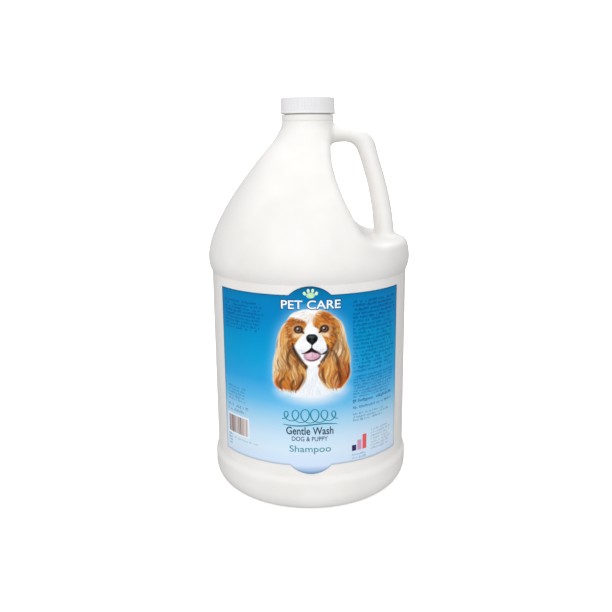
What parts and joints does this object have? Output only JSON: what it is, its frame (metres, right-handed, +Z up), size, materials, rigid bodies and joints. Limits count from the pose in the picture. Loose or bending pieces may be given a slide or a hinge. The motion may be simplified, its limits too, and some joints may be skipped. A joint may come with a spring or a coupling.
{
  "type": "gallon shampoo jug",
  "caption": "Round white gallon jug of pet shampoo with a hollow side handle in a pocket of its sloping shoulder, a ribbed screw cap and a wrap label.",
  "frame": {"origin": "centre of the foot on the resting plane", "axes": "+Z up along the jug's axis, -Y towards the label, +X towards the handle"},
  "size_m": [0.1566, 0.1566, 0.3032],
  "materials": {
    "jug_plastic": "waxy white polyethylene",
    "cap_plastic": "satin white polypropylene",
    "liner_foam": "white foamed polyethylene",
    "label_film": "printed glossy film",
    "shampoo": "pearly liquid"
  },
  "bodies": {
    "bottle": {"jug": "jug_plastic", "front_label": "label_film", "shampoo_fill": "shampoo"},
    "liner": {"cap_liner": "liner_foam"},
    "cap": {"screw_cap": "cap_plastic"}
  },
  "joints": [
    {"name": "cap_rise", "type": "slide", "parent": "bottle", "child": "liner", "axis": [0, 0, 1], "range_m": [0, 0.0191]},
    {"name": "cap_turn", "type": "hinge", "parent": "liner", "child": "cap", "pos_m": [0, 0, 0.2973], "axis": [0, 0, 1], "range_deg": [0, 1620]}
  ],
  "couplings": [
    {"joint": "cap_rise", "follows": "cap_turn", "m_per_rad": 0.00067376}
  ]
}
